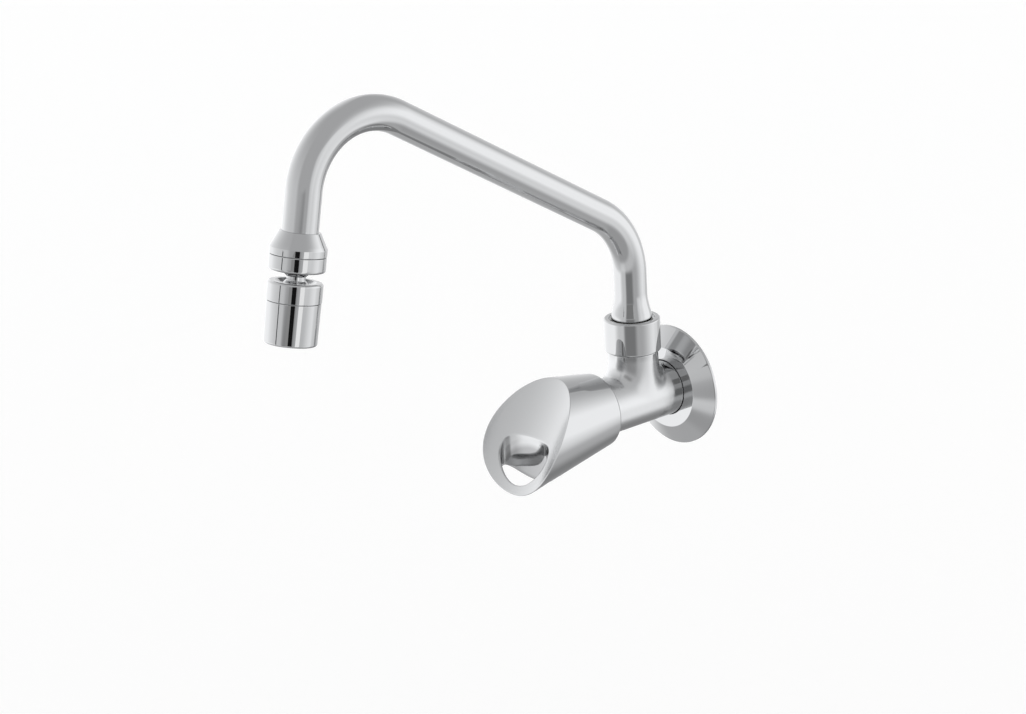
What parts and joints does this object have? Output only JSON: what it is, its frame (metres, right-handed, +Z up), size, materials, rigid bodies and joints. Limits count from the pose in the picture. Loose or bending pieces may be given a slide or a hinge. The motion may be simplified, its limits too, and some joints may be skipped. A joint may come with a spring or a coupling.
{
  "type": "wall-mounted sink faucet with swinging spout",
  "caption": "Chromed wall tap: conical flange, short barrel, bent swinging spout with a swivelling aerator, and a slanted quarter-turn knob with a finger hole.",
  "frame": {"origin": "where the barrel's axis meets the wall plane; the wall is the plane y = 0", "axes": "+Y into the wall along the inlet shank, -Y out over the sink, +Z up, +X to the user's right when facing the wall"},
  "size_m": [0.06, 0.2512, 0.2042],
  "materials": {
    "chrome_cast": "polished plating on cast brass",
    "chrome_sheet": "polished plating on pressed sheet",
    "chrome_tube": "polished plating on drawn tube",
    "chrome_turned": "polished plating on turned brass",
    "chrome_knob": "polished plating, softer on the scooped face",
    "brass": "bare turned brass",
    "black_rubber": "matt moulded rubber",
    "white_acetal": "fine matt",
    "grey_plastic": "fine matt",
    "stainless_steel": "brushed",
    "alumina": "lapped"
  },
  "bodies": {
    "tap_body": {"valve_body": "chrome_cast", "wall_flange": "chrome_sheet", "flange_ring": "black_rubber", "spout_nut": "chrome_turned", "slip_ring": "white_acetal", "cartridge_bonnet": "brass", "bonnet_o_ring": "black_rubber", "seat_gasket": "black_rubber", "fixed_disc": "alumina"},
    "handle": {"moving_disc": "alumina", "spindle": "brass", "spindle_o_rings": "black_rubber", "thrust_washer": "white_acetal", "spindle_clip": "stainless_steel", "handle_bushing": "white_acetal", "handle_screw": "stainless_steel", "handle_knob": "chrome_knob"},
    "spout": {"spout_tube": "chrome_tube", "spout_tail": "brass", "spout_o_rings": "black_rubber", "outlet_adapter": "chrome_turned", "adapter_washer": "black_rubber", "swivel_collar": "chrome_turned"},
    "ball_socket": {"ball_seat": "white_acetal"},
    "aerator": {"ball_stem": "chrome_turned", "aerator_head": "chrome_turned", "aerator_sleeve": "chrome_turned", "sleeve_washer": "black_rubber", "flow_regulator": "grey_plastic", "aerator_insert": "grey_plastic", "aerator_screen": "stainless_steel"}
  },
  "joints": [
    {"name": "knob_turn", "type": "hinge", "parent": "tap_body", "child": "handle", "pos_m": [0, -0.07, 0], "axis": [0, -1, 0], "range_deg": [0, 90]},
    {"name": "spout_swing", "type": "hinge", "parent": "tap_body", "child": "spout", "pos_m": [0, -0.02685, 0.03], "axis": [0, 0, 1], "range_deg": [-90, 90]},
    {"name": "aerator_spin", "type": "hinge", "parent": "spout", "child": "ball_socket", "pos_m": [0, -0.21588, 0.10952], "axis": [0, -0.2062, -0.9785], "continuous": true},
    {"name": "aerator_tilt", "type": "hinge", "parent": "ball_socket", "child": "aerator", "pos_m": [0, -0.21588, 0.10952], "axis": [1, 0, 0], "range_deg": [-15, 15]}
  ]
}
